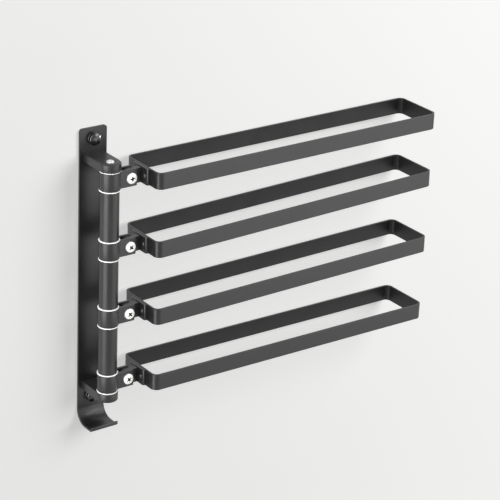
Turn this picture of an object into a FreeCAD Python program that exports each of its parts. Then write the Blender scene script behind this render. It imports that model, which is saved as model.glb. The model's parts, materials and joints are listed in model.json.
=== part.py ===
"""Wall-mounted towel rack with four swing arms, in millimetres.

Frame: +Z up, +Y into the wall, +X along the arms at rest. The origin lies on the wall, midway
between the two wall screws. A back plate with a hook at its foot carries two brackets, and a
steel pivot rod stands between them. The rod carries a stack of four knuckles on flanged nylon
bushes, kept apart by three spacer sleeves. Each knuckle is a fork, and the tenon of the arm's
bracket is clamped in it by one cross screw, about which the arm is levelled. The bracket is
riveted to the arm itself, a closed loop of flat bar. Every arm swings about the rod.
"""
import FreeCAD, Part
import math
import os

# ---- back plate and hook -------------------------------------------------------------------
PLATE_WIDTH = 28.8
PLATE_THICKNESS = 2.0
PLATE_CORNER = 3.0            # radius of the two upper corners
PLATE_ABOVE_SCREW = 10.8      # plate edge above the upper wall screw
WALL_SCREW_SPACING = 262.0
WALL_SHANK_DIAMETER = 4.5     # plain shank through the plate
WALL_HOLE_CLEARANCE = 0.25    # on the radius
HOOK_START_BELOW_SCREW = 11.8 # where the plate begins to curve, below the lower wall screw
HOOK_INNER_RADIUS = 12.5
HOOK_FLOOR_LENGTH = 9.9       # flat stretch between the curve and the lip
LIP_INNER_RADIUS = 1.5
LIP_TURN = 125.0              # degrees that the lip turns up and back
LIP_EDGE_ROUND = 0.6

# ---- column --------------------------------------------------------------------------------
ARM_WALL_GAP = 3.15           # rear strip of an arm at rest to the wall
BRACKET_TOP_BELOW_SCREW = 12.8
BRACKET_HEIGHT = 8.4
BRACKET_WIDTH = 20.6
UPPER_BRACKET_CHAMFER = 1.2   # round the top face of the upper bracket
LOWER_BRACKET_CHAMFER = 0.3   # round the underside of the lower one
ROD_DIAMETER = 8.0
ROD_SEAT_CLEARANCE = 0.05     # rod in its two brackets, on the radius
ROD_FLOOR = 2.6               # metal left under the rod in the lower bracket
ROD_PROUD = 0.2               # rod end above the upper bracket
ROD_HOLE_CHAMFER = 1.0
ROD_END_CHAMFER = 0.5
ROD_SCREW_DIAMETER = 4.0
ROD_SCREW_DEPTH = 12.0        # threaded into the rod
SLEEVE_DIAMETER = 18.0
SLEEVE_LENGTH = 48.3
SLEEVE_CLEARANCE = 0.15       # sleeve bore on the rod, on the radius
SLEEVE_EDGE = 0.3
BUSH_FLANGE_DIAMETER = 20.0
BUSH_FLANGE_THICKNESS = 0.9
BUSH_WALL = 1.2
BUSH_MIDDLE_GAP = 3.8         # between the ends of the two barrels in one knuckle
BUSH_RUNNING_CLEARANCE = 0.05 # bush on the rod, on the radius
BUSH_SEAT_CLEARANCE = 0.02    # bush barrel in the knuckle, on the radius
STACK_GAP = 0.05              # axial play at each moving flange

# ---- knuckle -------------------------------------------------------------------------------
ARM_COUNT = 4
KNUCKLE_DIAMETER = 19.5
KNUCKLE_HEIGHT = 17.8
KNUCKLE_EDGE = 0.4
CHEEK_BEYOND_SCREW = 6.2      # cheek ends past the cross screw's axis
CHEEK_STEP = 0.7              # cheek edges below the knuckle's end faces
CHEEK_THICKNESS = 2.8
CHEEK_CORNER = 0.8
CHEEK_EDGE = 0.3
CLAMP_AXIS_REACH = 19.3       # pivot axis to the cross screw
CLAMP_SCREW_DIAMETER = 5.0
CLAMP_HEAD_DIAMETER = 10.4
CLAMP_HEAD_HEIGHT = 2.6
CLAMP_HEAD_RIM = 0.8          # straight edge under the domed part
CLAMP_HOLE_CLEARANCE = 0.1    # screw in cheeks and tenon, on the radius
CLAMP_NUT_WIDTH = 8.0         # across flats
CLAMP_NUT_HEIGHT = 3.2
CLAMP_NUT_BEVEL = 0.6         # along the screw
CLAMP_NUT_BEVEL_REACH = 0.9   # across it
CLAMP_SCREW_TAIL = 1.0        # thread past the nut
CROSS_WIDTH = 1.1             # arms of the cross recess
CROSS_SPAN = 5.4
CROSS_DEPTH = 1.9

# ---- arm -----------------------------------------------------------------------------------
TENON_THICKNESS = 6.2
TENON_HEIGHT = 14.4
TENON_CLEARANCE = 0.1         # tenon to cheek, each side
TENON_NOSE_GAP = 0.5          # tenon's round nose to the bottom of the fork's slot
FOOT_WIDTH = 25.0             # bracket plate riveted to the loop
FOOT_THICKNESS = 2.5
FOOT_ROUND = 1.8              # upright front edges of the foot
FOOT_INSET = 0.2              # its top and bottom inside the edges of the loop's bar
FOOT_SWING_GAP = 6.8          # cheek ends to the foot
RIVET_SPACING = 14.0
RIVET_DIAMETER = 3.0
RIVET_CLEARANCE = 0.05
RIVET_HEAD_DIAMETER = 5.2
RIVET_HEAD_HEIGHT = 1.3
LOOP_LENGTH = 328.7
LOOP_WIDTH = 55.7
LOOP_BAR_HEIGHT = 16.2
LOOP_BAR_THICKNESS = 2.0
LOOP_CORNER = 6.6             # outer radius of the four bends
LOOP_EDGE = 0.25
# Each arm was left at its own level when its cross screw was tightened: degrees, far end up.
ARM_LEVELS = (0.1, 1.28, 0.7, -0.4)

# ---- fasteners -----------------------------------------------------------------------------
PLATE_SCREW_DIAMETER = 3.5
PLATE_SCREW_HEAD = 6.8
PLATE_SCREW_SPACING = 11.0
PLATE_SCREW_DEPTH = 12.0
PLATE_SCREW_CLEARANCE = 0.1
PLATE_SCREW_RECESS = 1.4      # depth of the cross in the countersunk heads
THREAD_SEAT = 0.02            # thread in its tapped hole, on the radius
TAP_OVERRUN = 1.0             # tapped holes past the screw's tip
WALL_SEAT_DIAMETER = 12.4     # collar of the screw head, against the plate
WALL_SEAT_HEIGHT = 1.2
WALL_GROOVE_DIAMETER = 10.8   # between the collar and the domed head
WALL_HEAD_DIAMETER = 12.0
WALL_HEAD_START = 1.6         # head's underside to the plate
WALL_HEAD_SHOULDER = 4.2      # plate to where its dome begins
WALL_HEAD_HEIGHT = 5.6        # plate to the top of the dome
WALL_HEAD_ROUND = 0.8         # shoulder of the dome
WALL_THREAD_DIAMETER = 4.0    # behind the plate
WALL_THREAD_LENGTH = 25.0
WALL_SCREW_TIP = 3.0          # length of the point
WALL_SCREW_TIP_END = 0.4      # radius at its very end

# ---- worked out ----------------------------------------------------------------------------
PLATE_FRONT = -PLATE_THICKNESS
COLUMN_Y = -(LOOP_WIDTH / 2 + ARM_WALL_GAP)
UPPER_SCREW_Z = WALL_SCREW_SPACING / 2
LOWER_SCREW_Z = -WALL_SCREW_SPACING / 2
PLATE_TOP = UPPER_SCREW_Z + PLATE_ABOVE_SCREW
HOOK_START = LOWER_SCREW_Z - HOOK_START_BELOW_SCREW
UPPER_BRACKET_TOP = UPPER_SCREW_Z - BRACKET_TOP_BELOW_SCREW
UPPER_BRACKET_BASE = UPPER_BRACKET_TOP - BRACKET_HEIGHT
KNUCKLE_PITCH = KNUCKLE_HEIGHT + 2 * (BUSH_FLANGE_THICKNESS + STACK_GAP) + SLEEVE_LENGTH
FIRST_ARM_Z = UPPER_BRACKET_BASE - STACK_GAP - BUSH_FLANGE_THICKNESS - KNUCKLE_HEIGHT / 2
ARM_HEIGHTS = [FIRST_ARM_Z - i * KNUCKLE_PITCH for i in range(ARM_COUNT)]
STACK_HALF = KNUCKLE_HEIGHT / 2 + BUSH_FLANGE_THICKNESS + STACK_GAP
LOWER_BRACKET_TOP = ARM_HEIGHTS[-1] - STACK_HALF
LOWER_BRACKET_BASE = LOWER_BRACKET_TOP - BRACKET_HEIGHT
ROD_RADIUS = ROD_DIAMETER / 2
BUSH_BORE = ROD_RADIUS + BUSH_RUNNING_CLEARANCE
BUSH_BARREL = BUSH_BORE + BUSH_WALL
BUSH_LENGTH = (KNUCKLE_HEIGHT - BUSH_MIDDLE_GAP) / 2
CHEEK_REACH = CLAMP_AXIS_REACH + CHEEK_BEYOND_SCREW
CHEEK_HEIGHT = KNUCKLE_HEIGHT - 2 * CHEEK_STEP
CHEEK_GAP = TENON_THICKNESS + 2 * TENON_CLEARANCE
FORK_HALF = CHEEK_GAP / 2 + CHEEK_THICKNESS
SLOT_START = CLAMP_AXIS_REACH - TENON_HEIGHT / 2 - TENON_NOSE_GAP
FOOT_FACE = CHEEK_REACH + FOOT_SWING_GAP
LOOP_START = FOOT_FACE + FOOT_THICKNESS
X, Y, Z = (FreeCAD.Vector(1, 0, 0), FreeCAD.Vector(0, 1, 0), FreeCAD.Vector(0, 0, 1))


def at(x, y, z):
    return FreeCAD.Vector(x, y, z)


def box(x0, x1, y0, y1, z0, z1):
    return Part.makeBox(x1 - x0, y1 - y0, z1 - z0, at(x0, y0, z0))


def rod(radius, start, direction, length):
    return Part.makeCylinder(radius, length, start, direction)


def cone(r_start, r_end, start, direction, length):
    return Part.makeCone(r_start, r_end, length, start, direction)


def turned(profile, centre, axis):
    """A solid of revolution: profile is a list of (radius, distance along the axis)."""
    side = X if abs(axis.x) < 0.5 else Y
    points = [centre + side * r + axis * h for r, h in profile]
    face = Part.Face(Part.makePolygon(points + [points[0]]))
    return face.revolve(centre, axis, 360)


def dome(radius, height, centre, axis):
    """A spherical cap with this base radius and height, base at centre."""
    ball = (radius ** 2 + height ** 2) / (2 * height)
    sphere = Part.makeSphere(ball, centre - axis * (ball - height))
    return sphere.common(rod(2 * radius, centre, axis, 2 * height))


def edges_where(shape, test):
    return [e for e in shape.Edges if test(e)]


def rounded_plate(x0, x1, y0, y1, z0, z1, radius, corner_test):
    """A box whose edges along Y that pass corner_test(x, z) are rounded."""
    body = box(x0, x1, y0, y1, z0, z1)
    picked = edges_where(body, lambda e: abs(e.tangentAt(0).y) > 0.9
                         and corner_test(e.CenterOfMass.x, e.CenterOfMass.z))
    return body.makeFillet(radius, picked)


# ---- pieces of the wall frame --------------------------------------------------------------
def arc_points(cy, cz, radius, start, end):
    """Start, middle and end of an arc in the YZ plane, angles in degrees from +Y towards +Z."""
    angles = [math.radians(a) for a in (start, (start + end) / 2, end)]
    return [at(0, cy + radius * math.cos(a), cz + radius * math.sin(a)) for a in angles]


def hook_solid():
    """The foot of the plate: a quarter turn forward, a short floor and an upturned lip."""
    outer = HOOK_INNER_RADIUS + PLATE_THICKNESS
    cy, cz = -outer, HOOK_START
    lip_y = cy - HOOK_FLOOR_LENGTH
    lip_z = cz - HOOK_INNER_RADIUS + LIP_INNER_RADIUS
    lip_outer = LIP_INNER_RADIUS + PLATE_THICKNESS
    back = arc_points(cy, cz, outer, 0, -90)
    front = arc_points(cy, cz, HOOK_INNER_RADIUS, -90, 0)
    lip_back = arc_points(lip_y, lip_z, lip_outer, -90, -90 - LIP_TURN)
    lip_front = arc_points(lip_y, lip_z, LIP_INNER_RADIUS, -90 - LIP_TURN, -90)
    edges = [Part.Arc(*back).toShape(), Part.makeLine(back[2], lip_back[0]),
             Part.Arc(*lip_back).toShape(), Part.makeLine(lip_back[2], lip_front[0]),
             Part.Arc(*lip_front).toShape(), Part.makeLine(lip_front[2], front[0]),
             Part.Arc(*front).toShape(), Part.makeLine(front[2], back[0])]
    face = Part.Face(Part.Wire(edges))
    face.translate(at(-PLATE_WIDTH / 2, 0, 0))
    solid = face.extrude(at(PLATE_WIDTH, 0, 0))
    tip = lip_back[2]
    picked = edges_where(solid, lambda e: abs(e.tangentAt(e.FirstParameter).x) > 0.9
                         and math.hypot(e.CenterOfMass.y - tip.y, e.CenterOfMass.z - tip.z)
                         < PLATE_THICKNESS * 1.1)
    return solid.makeFillet(LIP_EDGE_ROUND, picked)


def screw_places(bracket_middle):
    return [at(s * PLATE_SCREW_SPACING / 2, 0, bracket_middle) for s in (-1, 1)]


def back_plate():
    upper = rounded_plate(-PLATE_WIDTH / 2, PLATE_WIDTH / 2, PLATE_FRONT, 0, HOOK_START, PLATE_TOP,
                          PLATE_CORNER, lambda x, z: z > 0)
    plate = upper.fuse(hook_solid()).removeSplitter()
    hole = WALL_SHANK_DIAMETER / 2 + WALL_HOLE_CLEARANCE
    for z in (UPPER_SCREW_Z, LOWER_SCREW_Z):
        plate = plate.cut(rod(hole, at(0, PLATE_FRONT - 1, z), Y, PLATE_THICKNESS + 2))
    for middle in (UPPER_BRACKET_BASE + BRACKET_HEIGHT / 2, LOWER_BRACKET_BASE + BRACKET_HEIGHT / 2):
        for place in screw_places(middle):
            shank = PLATE_SCREW_DIAMETER / 2 + PLATE_SCREW_CLEARANCE
            head = PLATE_SCREW_HEAD / 2 + PLATE_SCREW_CLEARANCE
            plate = plate.cut(rod(shank, place + Y, -Y, PLATE_THICKNESS + 2))
            plate = plate.cut(cone(head, shank, place, -Y, head - shank))
    return plate


def bracket_blank(z_base):
    """A tongue that stands out from the plate and ends in a half round about the pivot axis."""
    half = BRACKET_WIDTH / 2
    tongue = box(-half, half, COLUMN_Y, PLATE_FRONT, z_base, z_base + BRACKET_HEIGHT)
    return tongue.fuse(rod(half, at(0, COLUMN_Y, z_base), Z, BRACKET_HEIGHT)).removeSplitter()


def chamfer_outline(bracket, z_face, size):
    """Breaks the edge all round one face, but not against the plate."""
    picked = edges_where(bracket, lambda e: abs(e.BoundBox.ZMin - z_face) < 1e-4
                         and abs(e.BoundBox.ZMax - z_face) < 1e-4
                         and e.CenterOfMass.y < PLATE_FRONT - 0.01)
    return bracket.makeChamfer(size, picked)


def tap_for_plate_screws(bracket, z_base):
    for place in screw_places(z_base + BRACKET_HEIGHT / 2):
        bracket = bracket.cut(rod(PLATE_SCREW_DIAMETER / 2 + THREAD_SEAT, place, -Y,
                                  PLATE_SCREW_DEPTH + TAP_OVERRUN))
    return bracket


def upper_bracket():
    bracket = chamfer_outline(bracket_blank(UPPER_BRACKET_BASE), UPPER_BRACKET_TOP,
                              UPPER_BRACKET_CHAMFER)
    bore = ROD_RADIUS + ROD_SEAT_CLEARANCE
    bracket = bracket.cut(rod(bore, at(0, COLUMN_Y, UPPER_BRACKET_BASE - 1), Z, BRACKET_HEIGHT + 2))
    mouth = cone(bore, bore + ROD_HOLE_CHAMFER, at(0, COLUMN_Y, UPPER_BRACKET_TOP - ROD_HOLE_CHAMFER),
                 Z, ROD_HOLE_CHAMFER)
    return tap_for_plate_screws(bracket.cut(mouth), UPPER_BRACKET_BASE)


def rod_screw_cone():
    """Radius of the countersunk head under the lower bracket, and its height."""
    head = ROD_SCREW_DIAMETER
    return head, head - ROD_SCREW_DIAMETER / 2


def lower_bracket():
    bracket = chamfer_outline(bracket_blank(LOWER_BRACKET_BASE), LOWER_BRACKET_BASE,
                              LOWER_BRACKET_CHAMFER)
    bore = ROD_RADIUS + ROD_SEAT_CLEARANCE
    floor = LOWER_BRACKET_BASE + ROD_FLOOR
    bracket = bracket.cut(rod(bore, at(0, COLUMN_Y, floor), Z, BRACKET_HEIGHT))
    through = ROD_SCREW_DIAMETER / 2 + CLAMP_HOLE_CLEARANCE
    bracket = bracket.cut(rod(through, at(0, COLUMN_Y, LOWER_BRACKET_BASE - 1), Z, BRACKET_HEIGHT))
    head, height = rod_screw_cone()
    seat = cone(head + CLAMP_HOLE_CLEARANCE, head + CLAMP_HOLE_CLEARANCE - height,
                at(0, COLUMN_Y, LOWER_BRACKET_BASE), Z, height)
    return tap_for_plate_screws(bracket.cut(seat), LOWER_BRACKET_BASE)


def pivot_rod():
    foot = LOWER_BRACKET_BASE + ROD_FLOOR
    length = UPPER_BRACKET_TOP + ROD_PROUD - foot
    body = rod(ROD_RADIUS, at(0, COLUMN_Y, foot), Z, length)
    ends = edges_where(body, lambda e: abs(e.BoundBox.ZMax - e.BoundBox.ZMin) < 1e-4)
    body = body.makeChamfer(ROD_END_CHAMFER, ends)
    tapped = rod(ROD_SCREW_DIAMETER / 2 + THREAD_SEAT, at(0, COLUMN_Y, foot), Z,
                 ROD_SCREW_DEPTH + TAP_OVERRUN)
    return body.cut(tapped)


def rod_screw():
    head, height = rod_screw_cone()
    shank = ROD_SCREW_DIAMETER / 2
    tip = ROD_FLOOR + ROD_SCREW_DEPTH
    body = turned([(0, 0), (head, 0), (shank, height), (shank, tip), (0, tip)],
                  at(0, COLUMN_Y, LOWER_BRACKET_BASE), Z)
    return body.cut(cross_recess(at(0, COLUMN_Y, LOWER_BRACKET_BASE), Z, X, Y,
                                 ROD_SCREW_DIAMETER, CROSS_DEPTH))


def spacer_sleeve(index):
    top = ARM_HEIGHTS[index] - STACK_HALF
    body = rod(SLEEVE_DIAMETER / 2, at(0, COLUMN_Y, top - SLEEVE_LENGTH), Z, SLEEVE_LENGTH)
    body = body.makeChamfer(SLEEVE_EDGE, edges_where(
        body, lambda e: abs(e.BoundBox.ZMax - e.BoundBox.ZMin) < 1e-4))
    return body.cut(rod(ROD_RADIUS + SLEEVE_CLEARANCE, at(0, COLUMN_Y, top - SLEEVE_LENGTH - 1), Z,
                        SLEEVE_LENGTH + 2))


def cross_recess(face_centre, inward, side, up, span, depth):
    """Two crossed slots sunk in a screw head, turned by an eighth so that the cross lies as an X."""
    arms = []
    for angle in (45, 135):
        slot = Part.makeBox(span, CROSS_WIDTH, depth, at(-span / 2, -CROSS_WIDTH / 2, 0))
        slot.rotate(at(0, 0, 0), Z, angle)
        arms.append(slot)
    tool = arms[0].fuse(arms[1])
    turn = FreeCAD.Rotation(side, up, inward, "ZXY")
    tool.Placement = FreeCAD.Placement(face_centre, turn)
    return tool


def wall_screw_head(seat):
    """A low dome on a straight side, with a rounded shoulder between them."""
    radius = WALL_HEAD_DIAMETER / 2
    side = rod(radius, seat - Y * WALL_HEAD_START, -Y, WALL_HEAD_SHOULDER - WALL_HEAD_START)
    crown = dome(radius, WALL_HEAD_HEIGHT - WALL_HEAD_SHOULDER, seat - Y * WALL_HEAD_SHOULDER, -Y)
    head = side.fuse(crown).removeSplitter()
    shoulder = seat.y - WALL_HEAD_SHOULDER
    return head.makeFillet(WALL_HEAD_ROUND, edges_where(
        head, lambda e: abs(e.BoundBox.YMin - shoulder) < 1e-4
        and abs(e.BoundBox.YMax - shoulder) < 1e-4))


def wall_screws():
    pieces = []
    for z in (UPPER_SCREW_Z, LOWER_SCREW_Z):
        seat = at(0, PLATE_FRONT, z)
        collar = rod(WALL_SEAT_DIAMETER / 2, seat, -Y, WALL_SEAT_HEIGHT)
        groove = rod(WALL_GROOVE_DIAMETER / 2, seat, -Y, WALL_HEAD_START)
        shank = rod(WALL_SHANK_DIAMETER / 2, seat, Y, PLATE_THICKNESS)
        thread = rod(WALL_THREAD_DIAMETER / 2, at(0, 0, z), Y, WALL_THREAD_LENGTH)
        point = cone(WALL_THREAD_DIAMETER / 2, WALL_SCREW_TIP_END, at(0, WALL_THREAD_LENGTH, z), Y,
                     WALL_SCREW_TIP)
        pieces.append(wall_screw_head(seat).fuse([collar, groove, shank, thread, point])
                      .removeSplitter())
    return Part.makeCompound(pieces)


def plate_screws(bracket_base):
    """The two countersunk screws that hold one bracket, heads sunk in the back of the plate."""
    pieces = []
    head, shank = PLATE_SCREW_HEAD / 2, PLATE_SCREW_DIAMETER / 2
    for place in screw_places(bracket_base + BRACKET_HEIGHT / 2):
        body = turned([(0, 0), (head, 0), (shank, head - shank), (shank, PLATE_SCREW_DEPTH),
                       (0, PLATE_SCREW_DEPTH)], place, -Y)
        pieces.append(body.cut(cross_recess(place, -Y, X, Z, PLATE_SCREW_DIAMETER,
                                            PLATE_SCREW_RECESS)))
    return Part.makeCompound(pieces)


# ---- pieces of one arm, built about the pivot axis with the knuckle's middle at z = 0 --------
def knuckle():
    barrel = rod(KNUCKLE_DIAMETER / 2, at(0, 0, -KNUCKLE_HEIGHT / 2), Z, KNUCKLE_HEIGHT)
    barrel = barrel.makeChamfer(KNUCKLE_EDGE, edges_where(
        barrel, lambda e: abs(e.BoundBox.ZMax - e.BoundBox.ZMin) < 1e-4))
    fork = rounded_plate(0, CHEEK_REACH, -FORK_HALF, FORK_HALF, -CHEEK_HEIGHT / 2, CHEEK_HEIGHT / 2,
                         CHEEK_CORNER, lambda x, z: x > 1)
    outline = edges_where(fork, lambda e: abs(abs(e.CenterOfMass.y) - FORK_HALF) < 1e-3
                          and e.CenterOfMass.x > 1)
    fork = fork.makeChamfer(CHEEK_EDGE, outline)
    body = barrel.fuse(fork).removeSplitter()
    body = body.cut(box(SLOT_START, CHEEK_REACH + 1, -CHEEK_GAP / 2, CHEEK_GAP / 2,
                        -KNUCKLE_HEIGHT, KNUCKLE_HEIGHT))
    body = body.cut(rod(BUSH_BARREL + BUSH_SEAT_CLEARANCE, at(0, 0, -KNUCKLE_HEIGHT), Z,
                        2 * KNUCKLE_HEIGHT))
    return body.cut(rod(CLAMP_SCREW_DIAMETER / 2 + CLAMP_HOLE_CLEARANCE,
                        at(CLAMP_AXIS_REACH, -2 * FORK_HALF, 0), Y, 4 * FORK_HALF))


def bushes():
    """Two flanged bushes, pressed into the knuckle from above and below."""
    pieces = []
    for side in (1, -1):
        face = KNUCKLE_HEIGHT / 2 * side
        flange = rod(BUSH_FLANGE_DIAMETER / 2, at(0, 0, face), Z * side, BUSH_FLANGE_THICKNESS)
        barrel = rod(BUSH_BARREL, at(0, 0, face), Z * -side, BUSH_LENGTH)
        bore = rod(BUSH_BORE, at(0, 0, -KNUCKLE_HEIGHT), Z, 2 * KNUCKLE_HEIGHT)
        pieces.append(flange.fuse(barrel).removeSplitter().cut(bore))
    return Part.makeCompound(pieces)


def clamp_screw():
    face = at(CLAMP_AXIS_REACH, -FORK_HALF, 0)
    head = rod(CLAMP_HEAD_DIAMETER / 2, face, -Y, CLAMP_HEAD_RIM)
    crown = dome(CLAMP_HEAD_DIAMETER / 2, CLAMP_HEAD_HEIGHT - CLAMP_HEAD_RIM,
                 face - Y * CLAMP_HEAD_RIM, -Y)
    length = 2 * FORK_HALF + CLAMP_NUT_HEIGHT + CLAMP_SCREW_TAIL
    shank = rod(CLAMP_SCREW_DIAMETER / 2, face, Y, length)
    body = head.fuse(crown).fuse(shank).removeSplitter()
    return body.cut(cross_recess(face - Y * CLAMP_HEAD_HEIGHT, Y, X, Z, CROSS_SPAN, CROSS_DEPTH))


def clamp_nut():
    face = at(CLAMP_AXIS_REACH, FORK_HALF, 0)
    corner = CLAMP_NUT_WIDTH / math.sqrt(3)
    turns = [math.radians(60 * i) for i in range(7)]
    outline = Part.makePolygon([face + X * corner * math.cos(a) + Z * corner * math.sin(a)
                                for a in turns])
    nut = Part.Face(outline).extrude(Y * CLAMP_NUT_HEIGHT)
    bevel = turned([(0, 0), (corner, 0), (corner, CLAMP_NUT_HEIGHT - CLAMP_NUT_BEVEL),
                    (corner - CLAMP_NUT_BEVEL_REACH, CLAMP_NUT_HEIGHT), (0, CLAMP_NUT_HEIGHT)],
                   face, Y)
    return nut.common(bevel).cut(rod(CLAMP_SCREW_DIAMETER / 2 + THREAD_SEAT, face - Y, Y,
                                     CLAMP_NUT_HEIGHT + 2))


def arm_bracket():
    """The foot riveted to the loop, and the tenon that the fork clamps."""
    half = TENON_THICKNESS / 2
    tall = LOOP_BAR_HEIGHT / 2 - FOOT_INSET
    foot = box(FOOT_FACE, LOOP_START, -FOOT_WIDTH / 2, FOOT_WIDTH / 2, -tall, tall)
    foot = foot.makeFillet(FOOT_ROUND, edges_where(foot, lambda e: abs(e.tangentAt(0).z) > 0.9
                                                   and e.CenterOfMass.x < FOOT_FACE + 0.01))
    tenon = box(CLAMP_AXIS_REACH, FOOT_FACE, -half, half, -TENON_HEIGHT / 2, TENON_HEIGHT / 2)
    nose = rod(TENON_HEIGHT / 2, at(CLAMP_AXIS_REACH, -half, 0), Y, 2 * half)
    body = foot.fuse(tenon).fuse(nose).removeSplitter()
    body = body.cut(rod(CLAMP_SCREW_DIAMETER / 2 + CLAMP_HOLE_CLEARANCE,
                        at(CLAMP_AXIS_REACH, -2 * FORK_HALF, 0), Y, 4 * FORK_HALF))
    return cut_rivet_holes(body)


def cut_rivet_holes(body):
    for side in (-1, 1):
        body = body.cut(rod(RIVET_DIAMETER / 2 + RIVET_CLEARANCE,
                            at(FOOT_FACE - 1, side * RIVET_SPACING / 2, 0), X,
                            FOOT_THICKNESS + LOOP_BAR_THICKNESS + 2))
    return body


def arm_rivets():
    pieces = []
    grip = FOOT_THICKNESS + LOOP_BAR_THICKNESS
    for side in (-1, 1):
        place = at(FOOT_FACE, side * RIVET_SPACING / 2, 0)
        heads = dome(RIVET_HEAD_DIAMETER / 2, RIVET_HEAD_HEIGHT, place, -X).fuse(
            dome(RIVET_HEAD_DIAMETER / 2, RIVET_HEAD_HEIGHT, place + X * grip, X))
        pieces.append(heads.fuse(rod(RIVET_DIAMETER / 2, place, X, grip)).removeSplitter())
    return Part.makeCompound(pieces)


def round_corners(solid, radius):
    return solid.makeFillet(radius, edges_where(solid, lambda e: abs(e.tangentAt(0).z) > 0.9))


def arm_loop():
    """A closed loop of flat bar on edge, with bent corners and broken edges."""
    half_w, half_h, t = LOOP_WIDTH / 2, LOOP_BAR_HEIGHT / 2, LOOP_BAR_THICKNESS
    end = LOOP_START + LOOP_LENGTH
    outer = round_corners(box(LOOP_START, end, -half_w, half_w, -half_h, half_h), LOOP_CORNER)
    inner = round_corners(box(LOOP_START + t, end - t, -half_w + t, half_w - t, -half_h, half_h),
                          LOOP_CORNER - t)
    bar = outer.cut(inner)
    rims = edges_where(bar, lambda e: abs(e.BoundBox.ZMax - e.BoundBox.ZMin) < 1e-4)
    return cut_rivet_holes(bar.makeChamfer(LOOP_EDGE, rims))


def levelled(shape, level):
    """Turns a piece of the arm about the cross screw, far end up by level degrees."""
    shape.rotate(at(CLAMP_AXIS_REACH, 0, 0), Y, -level)
    return shape


def on_column(shape, height):
    shape.translate(at(0, COLUMN_Y, height))
    return shape


def build():
    """Every node of the model by name."""
    nodes = {
        "back_plate": back_plate(),
        "upper_bracket": upper_bracket(),
        "lower_bracket": lower_bracket(),
        "upper_bracket_screws": plate_screws(UPPER_BRACKET_BASE),
        "lower_bracket_screws": plate_screws(LOWER_BRACKET_BASE),
        "pivot_rod": pivot_rod(),
        "rod_screw": rod_screw(),
        "wall_screws": wall_screws(),
    }
    for index in range(ARM_COUNT - 1):
        nodes[f"spacer_sleeve_{index + 1}"] = spacer_sleeve(index)
    for index, (height, level) in enumerate(zip(ARM_HEIGHTS, ARM_LEVELS), start=1):
        nodes[f"knuckle_{index}"] = on_column(knuckle(), height)
        nodes[f"bushes_{index}"] = on_column(bushes(), height)
        nodes[f"clamp_screw_{index}"] = on_column(clamp_screw(), height)
        nodes[f"clamp_nut_{index}"] = on_column(clamp_nut(), height)
        nodes[f"arm_bracket_{index}"] = on_column(levelled(arm_bracket(), level), height)
        nodes[f"arm_rivets_{index}"] = on_column(levelled(arm_rivets(), level), height)
        nodes[f"arm_loop_{index}"] = on_column(levelled(arm_loop(), level), height)
    return nodes


os.makedirs("parts", exist_ok=True)
for name, shape in build().items():
    if not shape.isValid():
        raise RuntimeError(f"{name} is not a valid shape")
    shape.exportStep(f"parts/{name}.step")
    print(name, len(shape.Solids), "solids", round(shape.Volume, 1), "mm3")
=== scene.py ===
import json
import math

import bmesh
import bpy
import numpy as np
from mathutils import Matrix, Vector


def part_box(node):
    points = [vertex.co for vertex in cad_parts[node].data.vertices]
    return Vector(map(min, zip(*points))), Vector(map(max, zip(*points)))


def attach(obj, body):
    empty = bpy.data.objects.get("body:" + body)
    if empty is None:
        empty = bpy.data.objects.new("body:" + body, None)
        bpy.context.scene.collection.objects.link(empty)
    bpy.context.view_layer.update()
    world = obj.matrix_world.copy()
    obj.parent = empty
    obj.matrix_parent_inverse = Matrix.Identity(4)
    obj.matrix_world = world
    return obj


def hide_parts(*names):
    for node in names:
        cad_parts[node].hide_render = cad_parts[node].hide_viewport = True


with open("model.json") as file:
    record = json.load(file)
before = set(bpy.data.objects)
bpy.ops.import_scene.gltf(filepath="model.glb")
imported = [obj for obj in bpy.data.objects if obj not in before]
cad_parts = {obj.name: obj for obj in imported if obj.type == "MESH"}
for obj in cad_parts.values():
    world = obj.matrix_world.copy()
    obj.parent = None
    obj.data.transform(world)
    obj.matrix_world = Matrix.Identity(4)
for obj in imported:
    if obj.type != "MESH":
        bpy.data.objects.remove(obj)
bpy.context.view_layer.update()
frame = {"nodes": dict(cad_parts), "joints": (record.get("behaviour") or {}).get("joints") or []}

MM = 0.001
ARMS = (1, 2, 3, 4)
SPACERS = (1, 2, 3)
NODES = frame["nodes"]

RIGHT = np.array([1.0, 0, 0])      # along the wall
INTO_WALL = np.array([0, 1.0, 0])  # the wall's face is at y = 0
FORWARD = np.array([0, -1.0, 0])   # out of the wall, into the room
UP = np.array([0, 0, 1.0])


# ---- places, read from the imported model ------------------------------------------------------
def node_box(name):
    """The low and high corners of a node's box."""
    low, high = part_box(name)
    return np.array(low), np.array(high)


def joint_named(name):
    """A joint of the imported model."""
    return next(joint for joint in frame["joints"] if joint["name"] == name)


def hinge(name):
    """The point that a joint turns about."""
    return np.array(joint_named(name)["pos_m"])


def level_of(arm):
    """An arm's tilt at rest, from its limits, which lie evenly about level: less their mean."""
    return -math.radians(sum(joint_named(f"tilt_{arm}")["range_deg"]) / 2)


# ---- meshes from grids of points -------------------------------------------------------------
DOUBLES_WITHIN = 0.002 * MM   # points this close are one
SLIVERS_UNDER = 0.001 * MM    # edges this short are dropped
FLAT_FACE_WEIGHT = 80         # how far large faces lead in the smooth shading


def grid_mesh(name, points, along=False):
    """A mesh through a grid of points, joined up across its last column, and across its last row
    too if it goes along a closed path. Rows that shrink to a point become poles."""
    rows, cols = points.shape[:2]
    i, j = np.meshgrid(np.arange(rows if along else rows - 1), np.arange(cols), indexing="ij")
    i2, j2 = (i + 1) % rows, (j + 1) % cols
    quads = np.stack([i * cols + j, i2 * cols + j, i2 * cols + j2, i * cols + j2], axis=-1)
    mesh = bpy.data.meshes.new(name)
    mesh.from_pydata(points.reshape(-1, 3), [], quads.reshape(-1, 4))
    return mesh


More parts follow.
